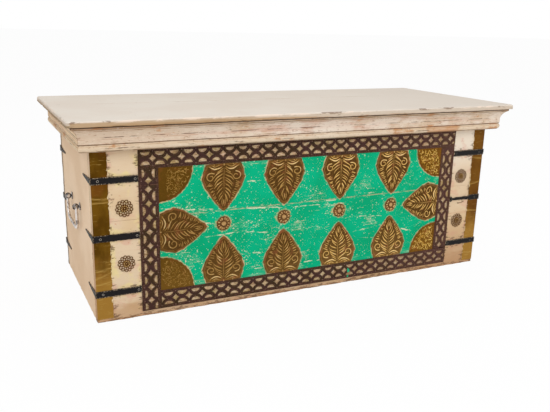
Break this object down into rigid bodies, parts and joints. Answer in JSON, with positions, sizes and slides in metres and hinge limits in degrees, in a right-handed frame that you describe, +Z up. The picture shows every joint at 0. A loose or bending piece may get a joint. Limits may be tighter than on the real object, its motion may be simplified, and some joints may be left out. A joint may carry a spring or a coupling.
{
  "type": "dowry chest",
  "caption": "Low lime-washed wooden storage chest with a hinged lid, a moulded cornice, a green front panel with brass leaves and drop handles.",
  "frame": {"origin": "on the floor under the middle of the lid, the middle of the overall box's base", "axes": "+X along the length to the right as seen from the front, -Y towards the front, +Z up"},
  "size_m": [1.146, 0.485, 0.45],
  "materials": {
    "limewashed_wood": "lime-washed, worn to the wood on edges",
    "painted_front": "lime-washed with an emerald green panel, scratched",
    "bare_wood": "sawn, unpainted",
    "brass_sheet": "dull, tarnished olive",
    "embossed_brass": "embossed, dark in the hollows and bright on the lobes",
    "pierced_iron": "dark maroon-brown, pierced",
    "black_iron": "blackened, hand-forged",
    "handle_iron": "forged, worn bright"
  },
  "bodies": {
    "chest": {"back_plank_lower": "limewashed_wood", "back_plank_upper": "limewashed_wood", "back_rail": "limewashed_wood", "bottom_plank_back": "bare_wood", "bottom_plank_front": "bare_wood", "brass_strip_left": "brass_sheet", "brass_strip_right": "brass_sheet", "corner_post_back_left": "bare_wood", "corner_post_back_right": "bare_wood", "corner_post_front_left": "bare_wood", "corner_post_front_right": "bare_wood", "corner_rosettes": "embossed_brass", "corner_straps_back_left": "black_iron", "corner_straps_back_right": "black_iron", "corner_straps_front_left": "black_iron", "corner_straps_front_right": "black_iron", "cornice_front": "limewashed_wood", "cornice_left": "limewashed_wood", "cornice_right": "limewashed_wood", "floor_cleat_back": "bare_wood", "floor_cleat_front": "bare_wood", "front_plank_lower": "painted_front", "front_plank_upper": "painted_front", "handle_eyes": "handle_iron", "hinge_pins": "black_iron", "hinge_plates": "black_iron", "lattice_bottom": "pierced_iron", "lattice_left": "pierced_iron", "lattice_right": "pierced_iron", "lattice_top": "pierced_iron", "leaf_bottom_1": "embossed_brass", "leaf_bottom_2": "embossed_brass", "leaf_bottom_3": "embossed_brass", "leaf_bottom_4": "embossed_brass", "leaf_side_left": "embossed_brass", "leaf_side_right": "embossed_brass", "leaf_top_1": "embossed_brass", "leaf_top_2": "embossed_brass", "leaf_top_3": "embossed_brass", "leaf_top_4": "embossed_brass", "left_end_board": "limewashed_wood", "panel_flowers": "embossed_brass", "quarter_fan_bottom_left": "embossed_brass", "quarter_fan_bottom_right": "embossed_brass", "quarter_fan_top_left": "embossed_brass", "quarter_fan_top_right": "embossed_brass", "right_end_board": "limewashed_wood"},
    "lid": {"hinge_straps": "black_iron", "lid_batten_left": "bare_wood", "lid_batten_right": "bare_wood", "lid_plank_back": "limewashed_wood", "lid_plank_front": "limewashed_wood"},
    "bail_left": {"bail_left": "handle_iron"},
    "bail_right": {"bail_right": "handle_iron"}
  },
  "joints": [
    {"name": "lid_hinge", "type": "hinge", "parent": "chest", "child": "lid", "pos_m": [0, 0.2324, 0.4351], "axis": [-1, 0, 0], "range_deg": [0, 105]},
    {"name": "bail_left_swing", "type": "hinge", "parent": "chest", "child": "bail_left", "pos_m": [-0.535, 0.0105, 0.227], "axis": [0, 1, 0], "range_deg": [0, 180]},
    {"name": "bail_right_swing", "type": "hinge", "parent": "chest", "child": "bail_right", "pos_m": [0.535, 0.0105, 0.227], "axis": [0, -1, 0], "range_deg": [0, 180]}
  ]
}
